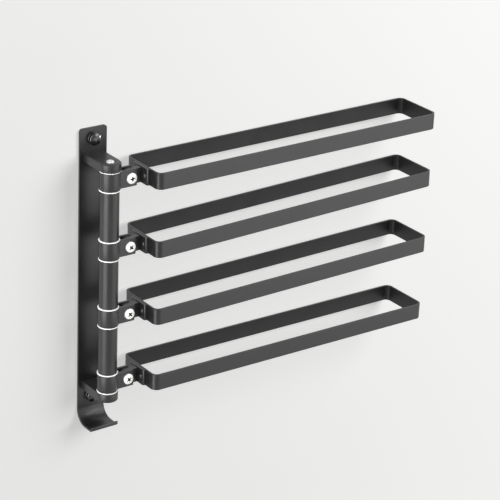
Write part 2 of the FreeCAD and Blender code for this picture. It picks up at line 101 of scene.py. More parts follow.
def closed_piece(name, meshes, material, body, replaced):
    """Joins grids into one piece, merges their doubles, turns their faces outwards, parents it to the
    body that it rides on, and hides the nodes that it stands for."""
    shell = bmesh.new()
    for mesh in meshes:
        shell.from_mesh(mesh)
        bpy.data.meshes.remove(mesh)
    bmesh.ops.remove_doubles(shell, verts=shell.verts, dist=DOUBLES_WITHIN)
    bmesh.ops.dissolve_degenerate(shell, edges=shell.edges, dist=SLIVERS_UNDER)
    bmesh.ops.recalc_face_normals(shell, faces=shell.faces)
    mesh = bpy.data.meshes.new(name)
    shell.to_mesh(mesh)
    shell.free()
    mesh.shade_smooth()
    piece = bpy.data.objects.new(name, mesh)
    bpy.context.collection.objects.link(piece)
    piece.data.materials.append(material)
    weigh = piece.modifiers.new("flat faces stay flat", "WEIGHTED_NORMAL")
    weigh.weight = FLAT_FACE_WEIGHT
    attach(piece, body)
    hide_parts(*replaced)
    return piece


def rounded_profile(corners, radii, steps):
    """An outline through corners, each cut by an arc of its radius: the arc's centre lies on the
    corner's bisector, at the radius over the sine of half the corner's angle. The arc turns
    evenly from one side's touching point to the other's. A corner of radius 0 stays sharp."""
    corners = np.asarray(corners, float)
    out = []
    for k, radius in enumerate(radii):
        corner, before, after = corners[k], corners[k - 1], corners[(k + 1) % len(corners)]
        if radius == 0:
            out.append(corner)
            continue
        a = (before - corner) / np.linalg.norm(before - corner)
        b = (after - corner) / np.linalg.norm(after - corner)
        half = math.acos(np.clip(a @ b, -1, 1)) / 2
        middle = (a + b) / np.linalg.norm(a + b)
        centre = corner + middle * radius / math.sin(half)
        start = corner + a * radius / math.tan(half) - centre
        end = corner + b * radius / math.tan(half) - centre
        t = np.linspace(0, 1, steps + 1)[:, None]
        sweep = math.pi - 2 * half
        arc = (np.sin((1 - t) * sweep) * start + np.sin(t * sweep) * end) / math.sin(sweep)
        out.extend(centre + arc)
    return np.array(out)


def turned(name, profile, centre, axis, sides):
    """A surface of revolution: each (radius, distance) of the profile goes round the axis, which
    is upright or square to the wall, as radius * (cos, sin) at its distance along it."""
    turn = np.linspace(0, 2 * math.pi, sides, endpoint=False)
    ring = np.cos(turn)[:, None] * RIGHT + np.sin(turn)[:, None] * np.cross(axis, RIGHT)
    profile = np.asarray(profile, float)
    points = profile[:, 0, None, None] * ring[None] + profile[:, 1, None, None] * axis
    return grid_mesh(name, points + np.asarray(centre))


# ---- materials -------------------------------------------------------------------------------
def srgb(hex_value):
    """A colour written as sRGB hex, turned to linear."""
    parts = [int(hex_value[k:k + 2], 16) / 255 for k in (1, 3, 5)]
    return tuple(c / 12.92 if c <= 0.04045 else ((c + 0.055) / 1.055) ** 2.4 for c in parts) + (1.0,)


def add(tree, kind, inputs=None, **settings):
    """Adds one node, with its settings, and its inputs as values or as (node, output) links."""
    node = tree.nodes.new(kind)
    for key, value in settings.items():
        setattr(node, key, value)
    for key, value in (inputs or {}).items():
        if isinstance(value, tuple) and isinstance(value[0], bpy.types.Node):
            tree.links.new(value[0].outputs[value[1]], node.inputs[key])
        else:
            node.inputs[key].default_value = value
    return node


def new_material(name):
    """An empty material and its node tree."""
    material = bpy.data.materials.new(name)
    material.use_nodes = True
    material.node_tree.nodes.clear()
    return material, material.node_tree


def finish_material(tree, shader):
    """Links the last shader to the surface."""
    add(tree, "ShaderNodeOutputMaterial", {"Surface": (shader, 0)})


def per_metre(size_mm):
    """Noise scale for features of this size, in Object coordinates of metres."""
    return 1 / (size_mm * MM)


def powder_coat():
    """Satin black polyester powder coat, electrostatically sprayed and stoved on steel. It gives
    the eye a soft sheen over a very dark grey, with a faint orange peel and a finer grain."""
    material, tree = new_material("powder_coat_satin_black")
    place = add(tree, "ShaderNodeTexCoord")
    # Flow of the melted powder is about 1.5 mm from crest to crest.
    peel = add(tree, "ShaderNodeTexNoise", {"Vector": (place, "Object"), "Scale": per_metre(1.5),
                                            "Detail": 2.0, "Roughness": 0.45})
    # The powder's own grain is near 0.1 mm and is drawn at 0.35 mm, so that it shows.
    grain = add(tree, "ShaderNodeTexNoise", {"Vector": (place, "Object"), "Scale": per_metre(0.35),
                                             "Detail": 1.0})
    # Film thickness drifts over some 30 mm and takes the tone and the gloss with it.
    drift = add(tree, "ShaderNodeTexNoise", {"Vector": (place, "Object"), "Scale": per_metre(30),
                                             "Detail": 3.0})
    tone = add(tree, "ShaderNodeValToRGB", {"Fac": (drift, "Fac")})
    tone.color_ramp.elements[0].position = 0.3
    tone.color_ramp.elements[0].color = srgb("#161618")
    tone.color_ramp.elements[1].position = 0.7
    tone.color_ramp.elements[1].color = srgb("#1c1c1e")
    gloss = add(tree, "ShaderNodeMapRange", {"Value": (drift, "Fac"), "From Min": 0.3,
                                             "From Max": 0.7, "To Min": 0.31, "To Max": 0.38})
    fine = add(tree, "ShaderNodeBump", {"Height": (grain, "Fac"), "Strength": 0.45,
                                        "Distance": 0.03 * MM})
    waves = add(tree, "ShaderNodeBump", {"Height": (peel, "Fac"), "Strength": 0.45,
                                         "Distance": 0.07 * MM, "Normal": (fine, "Normal")})
    shader = add(tree, "ShaderNodeBsdfPrincipled", {
        "Base Color": (tone, "Color"), "Roughness": (gloss, "Result"), "Normal": (waves, "Normal"),
        "IOR": 1.5})
    finish_material(tree, shader)
    return material


def inner_shade_coat():
    """The same coat on a loop's inner faces, painted darker and made more matt: painted shade where
    less light reaches inside the loop, so the inner faces look darker than the outer ones."""
    material, tree = new_material("powder_coat_inner_painted_shade")
    place = add(tree, "ShaderNodeTexCoord")
    # A fine texture, about 0.8 mm, in the inner faces' bump.
    blast = add(tree, "ShaderNodeTexNoise", {"Vector": (place, "Object"), "Scale": per_metre(0.8),
                                             "Detail": 3.0, "Roughness": 0.6})
    drift = add(tree, "ShaderNodeTexNoise", {"Vector": (place, "Object"), "Scale": per_metre(22),
                                             "Detail": 3.0})
    tone = add(tree, "ShaderNodeMix", {"Factor": (drift, "Fac"), "A": srgb("#131314"),
                                       "B": srgb("#19191b")}, data_type="RGBA")
    gloss = add(tree, "ShaderNodeMapRange", {"Value": (drift, "Fac"), "From Min": 0.3,
                                             "From Max": 0.7, "To Min": 0.4, "To Max": 0.5})
    bump = add(tree, "ShaderNodeBump", {"Height": (blast, "Fac"), "Strength": 0.3,
                                        "Distance": 0.03 * MM})
    shader = add(tree, "ShaderNodeBsdfPrincipled", {
        "Base Color": (tone, "Result"), "Roughness": (gloss, "Result"), "Normal": (bump, "Normal"),
        "IOR": 1.36})
    finish_material(tree, shader)
    return material


def black_screw_finish():
    """Black lacquer stoved on a steel screw: much glossier than the powder coat, so the domed heads
    carry a crisp glint, and a bright line round the groove."""
    material, tree = new_material("stoved_black_lacquer")
    place = add(tree, "ShaderNodeTexCoord")
    marks = add(tree, "ShaderNodeTexNoise", {"Vector": (place, "Object"), "Scale": per_metre(1.6),
                                             "Detail": 2.0})
    gloss = add(tree, "ShaderNodeMapRange", {"Value": (marks, "Fac"), "To Min": 0.1,
                                             "To Max": 0.18})
    bump = add(tree, "ShaderNodeBump", {"Height": (marks, "Fac"), "Strength": 0.1,
                                        "Distance": 0.02 * MM})
    shader = add(tree, "ShaderNodeBsdfPrincipled", {
        "Base Color": srgb("#0c0c0d"), "Roughness": (gloss, "Result"), "Normal": (bump, "Normal"),
        "IOR": 1.62})
    finish_material(tree, shader)
    return material


def turned_steel(axis_point):
    """Stainless steel with the fine rings that facing on a lathe leaves round the rod's upright
    axis: a sine of the distance from it. They spread the highlight into a soft fan."""
    material, tree = new_material("turned_steel_rod")
    place = add(tree, "ShaderNodeTexCoord")
    moved = add(tree, "ShaderNodeVectorMath", {0: (place, "Object"), 1: tuple(axis_point)},
                operation="SUBTRACT")
    flat = add(tree, "ShaderNodeVectorMath", {0: (moved, 0), 1: (1, 1, 0)}, operation="MULTIPLY")
    radius = add(tree, "ShaderNodeVectorMath", {0: (flat, 0)}, operation="LENGTH")
    # The tool's feed is about 0.1 mm a turn, drawn at 0.3 mm so that the rings show.
    phase = add(tree, "ShaderNodeMath", {0: (radius, "Value"), 1: 2 * math.pi * per_metre(0.3)},
                operation="MULTIPLY")
    rings = add(tree, "ShaderNodeMath", {0: (phase, 0)}, operation="SINE")
    stain = add(tree, "ShaderNodeTexNoise", {"Vector": (place, "Object"), "Scale": per_metre(2),
                                             "Detail": 4.0})
    gloss = add(tree, "ShaderNodeMapRange", {"Value": (stain, "Fac"), "To Min": 0.24,
                                             "To Max": 0.4})
    bump = add(tree, "ShaderNodeBump", {"Height": (rings, 0), "Strength": 0.25,
                                        "Distance": 0.01 * MM})
    shader = add(tree, "ShaderNodeBsdfPrincipled", {
        "Base Color": srgb("#f0f0ee"), "Metallic": 1.0, "Roughness": (gloss, "Result"),
        "Normal": (bump, "Normal")})
    finish_material(tree, shader)
    return material


def plated_steel():
    """Clear passivated zinc, electroplated on a cold-headed steel screw: a milky film over the metal
    makes it almost white, with faint handling marks in the gloss."""
    material, tree = new_material("clear_zinc_plate")
    place = add(tree, "ShaderNodeTexCoord")
    marks = add(tree, "ShaderNodeTexNoise", {"Vector": (place, "Object"), "Scale": per_metre(1.2),
                                             "Detail": 5.0, "Roughness": 0.6})
    gloss = add(tree, "ShaderNodeMapRange", {"Value": (marks, "Fac"), "To Min": 0.46,
                                             "To Max": 0.6})
    bump = add(tree, "ShaderNodeBump", {"Height": (marks, "Fac"), "Strength": 0.2,
                                        "Distance": 0.02 * MM})
    shader = add(tree, "ShaderNodeBsdfPrincipled", {
        "Base Color": srgb("#f6f5f2"), "Metallic": 0.45, "Roughness": (gloss, "Result"),
        "Normal": (bump, "Normal")})
    finish_material(tree, shader)
    return material


def recess_shade_material():
    """The bottom of the cross recess, dark and dull: painted shade for the shadow inside it."""
    material, tree = new_material("painted_recess_shade")
    place = add(tree, "ShaderNodeTexCoord")
    # Painted shade in two dark tones, mottled by noise.
    shade_mottle = add(tree, "ShaderNodeTexNoise", {"Vector": (place, "Object"), "Scale": per_metre(0.4),
                                             "Detail": 3.0})
    tone = add(tree, "ShaderNodeMix", {"Factor": (shade_mottle, "Fac"), "A": srgb("#141413"),
                                       "B": srgb("#2c2b29")}, data_type="RGBA")
    shader = add(tree, "ShaderNodeBsdfPrincipled", {"Base Color": (tone, "Result"),
                                                    "Roughness": 0.6})
    finish_material(tree, shader)
    return material


def moulded_nylon():
    """Natural white nylon, injection moulded: milky and slightly waxy, with a satin skin."""
    material, tree = new_material("moulded_nylon_white")
    place = add(tree, "ShaderNodeTexCoord")
    skin = add(tree, "ShaderNodeTexNoise", {"Vector": (place, "Object"), "Scale": per_metre(0.6),
                                            "Detail": 2.0})
    cloud = add(tree, "ShaderNodeTexNoise", {"Vector": (place, "Object"), "Scale": per_metre(6)})
    tone = add(tree, "ShaderNodeMix", {"Factor": (cloud, "Fac"), "A": srgb("#f0f0ed"),
                                       "B": srgb("#f8f8f5")}, data_type="RGBA")
    bump = add(tree, "ShaderNodeBump", {"Height": (skin, "Fac"), "Strength": 0.15,
                                        "Distance": 0.02 * MM})
    shader = add(tree, "ShaderNodeBsdfPrincipled", {
        "Base Color": (tone, "Result"), "Roughness": 0.42, "IOR": 1.53,
        "Normal": (bump, "Normal")})
    finish_material(tree, shader)
    return material


def dress(name, material):
    """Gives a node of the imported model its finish."""
    slots = NODES[name].data.materials
    slots.clear()
    slots.append(material)


# ---- arm loops -------------------------------------------------------------------------------
LOOP_BAR_HEIGHT = 16.2 * MM
BAR_THICKNESS = 2.0 * MM
BAR_EDGE = 0.35 * MM      # the coat rounds the bar's edges
LOOP_CORNER = 6.6 * MM    # outside radius of the bends
BEND_STEPS = 14
EDGE_STEPS = 3
# Of the section's 16 strips, the flat one that faces inwards and one beside it on either edge.
INNER_STRIPS = (10, 11, 12)


def loop_path(near, far, half_width):
    """A rectangle with round corners, walked by its outward normal: on a bend the centre stays and
    the normal turns by a right angle. Gives the points on the outside, and their normals."""
    left, right = -half_width + LOOP_CORNER, half_width - LOOP_CORNER
    centres = [(far - LOOP_CORNER, left), (far - LOOP_CORNER, right),
               (near + LOOP_CORNER, right), (near + LOOP_CORNER, left)]
    bend = np.linspace(0, math.pi / 2, BEND_STEPS + 1)
    along, outward = [], []
    for k, centre in enumerate(centres):
        angle = -math.pi / 2 + k * math.pi / 2 + bend
        normal = np.stack([np.cos(angle), np.sin(angle)], axis=1)
        along.append(np.array(centre) + normal * LOOP_CORNER)
        outward.append(normal)
    return np.concatenate(along), np.concatenate(outward)


def arm_loop(arm, coat, shaded_inner_coat):
    """The flat bar's section, a rounded rectangle, carried round the loop's path: a point of it
    lies off the path by its first number along the outward normal, and by its second up the arm.
    The path's own numbers are measured from the arm's pin, along the arm and into the wall."""
    low, high = node_box(f"arm_loop_{arm}")
    pin, level = hinge(f"tilt_{arm}"), level_of(arm)
    slope = np.array([math.cos(level), 0, math.sin(level)])
    rise = np.array([-math.sin(level), 0, math.cos(level)])
    half_height = LOOP_BAR_HEIGHT / 2
    # Both ends of the levelled loop lie where the box's corners do, less half a bar's lean.
    lean = half_height * abs(math.sin(level))
    near = (low[0] + lean - pin[0]) / math.cos(level)
    far = (high[0] - lean - pin[0]) / math.cos(level)
    along, outward = loop_path(near, far, (high[1] - low[1]) / 2)
    section = rounded_profile([(0, -half_height), (0, half_height), (-BAR_THICKNESS, half_height),
                               (-BAR_THICKNESS, -half_height)], [BAR_EDGE] * 4, EDGE_STEPS)
    flat = along[:, None] + outward[:, None] * section[None, :, :1]
    height = np.broadcast_to(section[None, :, 1:], flat.shape[:2] + (1,))
    points = pin + flat[..., :1] * slope + INTO_WALL * flat[..., 1:2] + height * rise
    bar = grid_mesh("loop", points, along=True)
    # The inner strips take the coat's darker copy: painted shade.
    inside = np.isin(np.arange(len(section)), INNER_STRIPS)
    bar.polygons.foreach_set("material_index", np.tile(inside, len(along)).astype(np.int32))
    piece = closed_piece(f"loop_bar_{arm}", [bar], coat, f"arm_{arm}",
                         [f"arm_loop_{arm}"])
    piece.data.materials.append(shaded_inner_coat)
    return piece


# ---- turned pieces of the column ---------------------------------------------------------------
COLUMN_SIDES = 96
ROD_SIDES = 72
SLEEVE_BORE = 4.15 * MM        # bores and barrels are given by their radius
SLEEVE_BORE_EDGE = 0.15 * MM
SLEEVE_OUTER_EDGE = 0.35 * MM
BUSH_BORE = 4.05 * MM
BUSH_BARREL = 5.25 * MM
BARREL_LENGTH = 7 * MM
FLANGE_THICKNESS = 0.9 * MM
MOULDED_EDGE = 0.2 * MM
FLANGE_EDGE = 0.3 * MM
FLANGE_ROOT = 0.1 * MM         # the inside corner between barrel and flange
ROD_CHAMFER = 0.5 * MM
LATHE_CENTRE_RADIUS = 0.9 * MM
LATHE_CENTRE_DEPTH = 0.8 * MM


def column_ring(outline, radii, centre):
    """A ring turned about the column: its closed outline has its corners rounded."""
    soft = rounded_profile(outline, radii, steps=4)
    return turned("ring", np.concatenate([soft, soft[:1]]), centre, UP, COLUMN_SIDES)


def sleeve(index, material):
    """The tube between two knuckles: a rectangle between bore and outside, turned."""
    name = f"spacer_sleeve_{index}"
    low, high = node_box(name)
    half, outer = (high[2] - low[2]) / 2, (high[0] - low[0]) / 2
    ring = column_ring([(SLEEVE_BORE, -half), (outer, -half), (outer, half), (SLEEVE_BORE, half)],
                       [SLEEVE_BORE_EDGE, SLEEVE_OUTER_EDGE, SLEEVE_OUTER_EDGE, SLEEVE_BORE_EDGE],
                       (low + high) / 2)
    closed_piece(f"column_tube_{index}", [ring], material, "wall_frame", [name])


def flanged_bushes(arm, material):
    """Both bushes of a knuckle: an L between bore, barrel and flange, turned, and the same one
    upside down."""
    low, high = node_box(f"bushes_{arm}")
    half, flange = (high[2] - low[2]) / 2, (high[0] - low[0]) / 2
    face = half - FLANGE_THICKNESS
    foot = face - BARREL_LENGTH
    radii = [MOULDED_EDGE, MOULDED_EDGE, FLANGE_ROOT, FLANGE_EDGE, FLANGE_EDGE, MOULDED_EDGE]
    rings = []
    for side in (1, -1):
        outline = [(BUSH_BORE, foot * side), (BUSH_BARREL, foot * side), (BUSH_BARREL, face * side),
                   (flange, face * side), (flange, half * side), (BUSH_BORE, half * side)]
        rings.append(column_ring(outline, radii, (low + high) / 2))
    closed_piece(f"nylon_bushes_{arm}", rings, material, f"swivel_{arm}",
                 [f"bushes_{arm}"])


def pivot(material):
    """The rod: a bar chamfered at both ends, turned, with a lathe centre in its upper end."""
    low, high = node_box("pivot_rod")
    x, y = (low[:2] + high[:2]) / 2
    bottom, top = low[2], high[2]
    r = (high[0] - low[0]) / 2
    profile = [(0, bottom), (r - ROD_CHAMFER, bottom), (r, bottom + ROD_CHAMFER),
               (r, top - ROD_CHAMFER), (r - ROD_CHAMFER, top), (LATHE_CENTRE_RADIUS, top),
               (0, top - LATHE_CENTRE_DEPTH)]
    radii = [0, 0.1 * MM, 0.1 * MM, 0.15 * MM, 0.15 * MM, 0.1 * MM, 0]
    soft = rounded_profile(profile, radii, steps=3)
    closed_piece("rod", [turned("rod", soft, (x, y, 0), UP, ROD_SIDES)], material, "wall_frame",
                 ["pivot_rod"])


# ---- threads -----------------------------------------------------------------------------------
THREAD_SIDES = 36
FLANK = 0.28          # share of the pitch over which a flank falls
RIDGE_HEIGHT = 1.35   # cut off at 1, which leaves a flat crest
TIP_LEFT = 0.02       # share of the radius that the tip ends with


def threaded(name, centre, start, length, crest, root, pitch, step, tip=0.0):
    """A threaded shank into the wall as one surface: at angle a and distance s its radius is the
    root plus a ridge that repeats every pitch along s - pitch * a / 2 pi. It closes down over the
    tip."""
    s = np.linspace(0, length, int(length / step) + 1)[:, None]
    a = np.linspace(0, 2 * math.pi, THREAD_SIDES, endpoint=False)[None]
    phase = np.mod(s / pitch - a / (2 * math.pi), 1)
    ridge = np.clip(RIDGE_HEIGHT - np.abs(phase - 0.5) / FLANK, 0, 1)
    # The ridge fades in at its start, and both root and ridge close over the tip.
    fade = np.clip(s / pitch, 0, 1)
    close = np.clip((length - s) / tip, TIP_LEFT, 1) if tip else np.ones_like(s)
    radius = (root + (crest - root) * ridge * fade) * close
    ring = np.cos(a)[..., None] * RIGHT + np.sin(a)[..., None] * np.cross(INTO_WALL, RIGHT)
    points = np.asarray(centre) + radius[..., None] * ring + (start + s)[..., None] * INTO_WALL
    ends = np.asarray(centre) + np.array([[start], [start + length]])[..., None] * INTO_WALL
    ends = np.broadcast_to(ends, (2, points.shape[1], 3))
    return grid_mesh(name, np.concatenate([ends[:1], points, ends[1:]]))


# ---- wall screws, in millimetres, with heights from the plate's face ---------------------------
PLATE_THICKNESS = 2.0
COLLAR_RADIUS = 6.2
COLLAR_HEIGHT = 1.2
GROOVE_RADIUS = 5.4
HEAD_RADIUS = 6.0
HEAD_FOOT = 1.6
HEAD_SHOULDER = 4.35
HEAD_TOP = 5.6
DOME_RISE = 1.4
DOME_EDGE = 5.3         # radius at which the dome ends
DOME_RINGS = 12
SHANK_RADIUS = 2.25
HEAD_SIDES = 72
WOOD_THREAD = {"length": 28 * MM, "crest": 2.0 * MM, "root": 1.35 * MM, "pitch": 1.8 * MM,
               "step": 0.18 * MM, "tip": 6 * MM}


def screw_head(x, z):
    """A collar, a groove and a low domed head, turned. The dome is an arc of the ball whose radius
    is the head's radius squared plus the dome's rise squared, over twice the rise."""
    ball = (HEAD_RADIUS ** 2 + DOME_RISE ** 2) / (2 * DOME_RISE)
    t = np.linspace(0, math.asin(DOME_EDGE / ball), DOME_RINGS)
    crown = np.stack([ball * np.sin(t), HEAD_TOP - ball * (1 - np.cos(t))], axis=1)
    corners = [(HEAD_RADIUS, HEAD_SHOULDER), (HEAD_RADIUS, HEAD_FOOT), (GROOVE_RADIUS, HEAD_FOOT),
               (GROOVE_RADIUS, COLLAR_HEIGHT), (COLLAR_RADIUS, COLLAR_HEIGHT), (COLLAR_RADIUS, 0),
               (SHANK_RADIUS, 0), (SHANK_RADIUS, -PLATE_THICKNESS), (0, -PLATE_THICKNESS)]
    outline = np.concatenate([crown, corners]) * MM
    radii = [0] * len(crown) + [0.75 * MM, 0.3 * MM, 0.05 * MM, 0.05 * MM, 0.35 * MM, 0.1 * MM,
                                0, 0, 0]
    soft = rounded_profile(outline, radii, steps=5)
    return turned("head", soft, (x, -PLATE_THICKNESS * MM, z), FORWARD, HEAD_SIDES)


def wall_screw_pair(material):
    """Both wall screws: a head on the plate, and behind it a coarse thread with a point."""
    low, high = node_box("wall_screws")
    x = (low[0] + high[0]) / 2
    meshes = []
    for z in (high[2] - COLLAR_RADIUS * MM, low[2] + COLLAR_RADIUS * MM):
        meshes.append(screw_head(x, z))
        meshes.append(threaded("thread", (x, 0, z), 0, **WOOD_THREAD))
    return closed_piece("wall_screw_pair", meshes, material, "wall_frame",
                        ["wall_screws"])


# ---- cross screws ------------------------------------------------------------------------------
CROSS_TURN = {1: 4, 2: 47, 3: 43, 4: 37}   # degrees, as each cross screw was left when tightened
PAN_HEIGHT = 2.6 * MM
PAN_RADIUS = 5.2 * MM
PAN_BALL = 17.0 * MM        # the domed face is part of a ball of this radius
PAN_SIDES = 192
FACE_RADIUS = 3.9 * MM      # where the dome gives way to the rounded side
SHOULDER_FALL = 0.32 * MM
# Rings of the face's grid: close over the recess, and wider from there to the dome's edge.
FACE_RINGS = np.concatenate([np.linspace(0, 2.9, 59), np.linspace(3.0, 3.9, 8)]) * MM
RECESS_REACH = 2.6 * MM
RECESS_DEPTH = 1.9 * MM
SLOT_END = 0.5 * MM         # half a slot's width at its outer end
SLOT_TAPER = 0.42 * MM      # and what it gains towards the middle
SLOT_SOFTNESS = 0.16 * MM   # width over which a slot's side falls
FLOOR_SLOPE = 2.6
FLOOR_CURVE = 0.8
SCREW_RADIUS = 2.5 * MM
SHANK_SIDES = 48
PLAIN_LENGTH = 12.0 * MM    # of the shank, before the thread
INTO_HEAD = 0.1 * MM        # how far the shank's ends go into the head and the thread
INTO_THREAD = 0.2 * MM
MACHINE_THREAD = {"crest": SCREW_RADIUS, "root": 2.1 * MM, "pitch": 0.8 * MM, "step": 0.08 * MM}
# A face of the recess is sunk more than this below the dome, and lies within this radius. The
# shank and the thread lie deeper than the last number.
SUNK_BELOW_DOME = 0.12 * MM
SUNK_WITHIN = 2.8 * MM
SUNK_AT_MOST = 2.2 * MM


def recess_depth(r, a):
    """The cross recess's depth at radius r and angle a. Reach falls from 1 in the middle to 0 at a
    slot's end. The half width grows with reach, the floor falls as reach to a power until it is
    at full depth, and the sides are a smooth step, 3 t squared less 2 t cubed."""
    u, v = r * np.cos(a), r * np.sin(a)
    along, across = np.maximum(np.abs(u), np.abs(v)), np.minimum(np.abs(u), np.abs(v))
    reach = np.clip(1 - along / RECESS_REACH, 0, 1)
    half_slot = SLOT_END + SLOT_TAPER * reach
    side = np.clip((half_slot - across) / SLOT_SOFTNESS + 0.5, 0, 1)
    floor = RECESS_DEPTH * np.minimum(1, FLOOR_SLOPE * reach ** FLOOR_CURVE)
    return floor * side * side * (3 - 2 * side)


def cross_screw(arm, material, recess):
    """Pan head cross screw. Its face is a polar grid raised by a low dome, less the recess, and its
    side, shank and thread are turned."""
    low, high = node_box(f"clamp_screw_{arm}")
    x, y, z = (low + high) / 2
    face = low[1]
    under_head = np.array([x, face + PAN_HEIGHT, z])
    r = FACE_RINGS[:, None]
    a = np.linspace(0, 2 * math.pi, PAN_SIDES, endpoint=False)[None]
    dome = PAN_HEIGHT - PAN_BALL + np.sqrt(PAN_BALL ** 2 - r ** 2)
    up = dome - recess_depth(r, a - math.radians(CROSS_TURN[arm]))
    grid = np.stack([r * np.cos(a), -up, r * np.sin(a)], axis=-1) + under_head
    shoulder = PAN_HEIGHT - PAN_BALL + math.sqrt(PAN_BALL ** 2 - FACE_RADIUS ** 2)
    edge = [(FACE_RADIUS, shoulder), (PAN_RADIUS, shoulder - SHOULDER_FALL), (PAN_RADIUS, 0),
            (SCREW_RADIUS, 0)]
    soft = rounded_profile(edge, [0, 1.1 * MM, 0.15 * MM, 0], steps=8)
    skirt = turned("skirt", soft, under_head, FORWARD, PAN_SIDES)
    foot = -PLAIN_LENGTH - INTO_THREAD
    shank = turned("shank", [(0, INTO_HEAD), (SCREW_RADIUS, INTO_HEAD), (SCREW_RADIUS, foot),
                             (0, foot)], under_head, FORWARD, SHANK_SIDES)
    thread = threaded("thread", under_head, PLAIN_LENGTH, high[1] - under_head[1] - PLAIN_LENGTH,
                      **MACHINE_THREAD)
    piece = closed_piece(f"cross_screw_{arm}", [grid_mesh("face", grid), skirt, shank, thread],
                         material, f"swivel_{arm}", [f"clamp_screw_{arm}"])
    paint_recess_shade(piece, np.array([x, face, z]), recess)


def paint_recess_shade(piece, top, recess):
    """Gives the recess's faces the second material, the painted shade: those sunk well below the
    domed face, which falls by r squared over twice its ball's radius."""
    mesh = piece.data
    mesh.materials.append(recess)
    middles = np.empty(3 * len(mesh.polygons))
    mesh.polygons.foreach_get("center", middles)
    off = middles.reshape(-1, 3) - top
    r2 = off[:, 0] ** 2 + off[:, 2] ** 2
    depth = off[:, 1]
    sunk = ((depth > r2 / (2 * PAN_BALL) + SUNK_BELOW_DOME) & (r2 < SUNK_WITHIN ** 2)
            & (depth < SUNK_AT_MOST))
    mesh.polygons.foreach_set("material_index", sunk.astype(np.int32))


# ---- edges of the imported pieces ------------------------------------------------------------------
COATED_EDGE = 0.3 * MM
WELD_WITHIN = 0.001 * MM
SHARP_FROM = math.radians(32)   # edges that bend more than this are rounded


def break_edges(name):
    """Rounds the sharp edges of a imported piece, as a coat of powder does."""
    node = NODES[name]
    join = node.modifiers.new("joined faces", "WELD")
    join.merge_threshold = WELD_WITHIN
    round_off = node.modifiers.new("coated edges", "BEVEL")
    round_off.width = COATED_EDGE
    round_off.segments = 2
    round_off.limit_method = "ANGLE"
    round_off.angle_limit = SHARP_FROM
    round_off.miter_outer = "MITER_ARC"


# ---- studio ----------------------------------------------------------------------------------
CAMERA_AZIMUTH = -36.51   # degrees, from straight in front towards the viewer's left
CAMERA_ELEVATION = 23.36
CAMERA_ROLL = 2.41
CAMERA_DISTANCE = 1.96272
CAMERA_LENS = 152.75      # mm, on the sensor below
SENSOR_WIDTH = 36
AIM = np.array([0.11246, -0.09665, 0.03066])
LAMPS_AIM = np.array([0.1, -0.03, 0])
ROOM_COLOUR = "#f4f4f3"


def put(thing, right, up, back, spot):
    """Links in a camera or a lamp at a spot. It looks the opposite way to its back direction."""
    place = np.eye(4)
    place[:3, 0], place[:3, 1], place[:3, 2], place[:3, 3] = right, up, back, spot
    thing.matrix_world = place.T.tolist()
    bpy.context.collection.objects.link(thing)


def make_camera():
    """Looks at AIM from the photograph's direction, with its slight roll: right and up are turned
    by the roll in their own plane."""
    a, e, roll = (math.radians(v) for v in (CAMERA_AZIMUTH, CAMERA_ELEVATION, CAMERA_ROLL))
    back = np.array([math.sin(a) * math.cos(e), -math.cos(a) * math.cos(e), math.sin(e)])
    right = np.array([math.cos(a), math.sin(a), 0])
    up = np.cross(back, right)
    level_right = math.cos(roll) * right + math.sin(roll) * up
    level_up = -math.sin(roll) * right + math.cos(roll) * up
    data = bpy.data.cameras.new("camera")
    data.sensor_width, data.lens = SENSOR_WIDTH, CAMERA_LENS
    data.clip_start, data.clip_end = 0.05, 30
    camera = bpy.data.objects.new("camera", data)
    put(camera, level_right, level_up, back, AIM + back * CAMERA_DISTANCE)
    bpy.context.scene.camera = camera


def softbox(name, plan, elevation, distance, width, height, radiance):
    """A soft lamp seen from the rack at a plan angle, from the left wall line (0) round to the
    front (90). A lamp's power is its radiance times pi times its area."""
    a, e = math.radians(plan), math.radians(elevation)
    away = np.array([-math.cos(a) * math.cos(e), -math.sin(a) * math.cos(e), math.sin(e)])
    right = np.cross(UP, away)
    right /= np.linalg.norm(right)
    data = bpy.data.lights.new(name, "AREA")
    data.shape, data.size, data.size_y = "RECTANGLE", width, height
    data.energy = radiance * math.pi * width * height
    lamp = bpy.data.objects.new(name, data)
    lamp.visible_camera = False
    put(lamp, right, np.cross(away, right), away, LAMPS_AIM + away * distance)
    return lamp


def light_link(lamp, pieces, state):
    """Keeps a lamp off some pieces (EXCLUDE), or lets it light them alone (INCLUDE), as flags and
    a snoot do."""
    linked = bpy.data.collections.new("linked to " + lamp.name)
    for piece in pieces:
        linked.objects.link(piece)
    for member in linked.collection_objects:
        member.light_linking.link_state = state
    lamp.light_linking.receiver_collection = linked


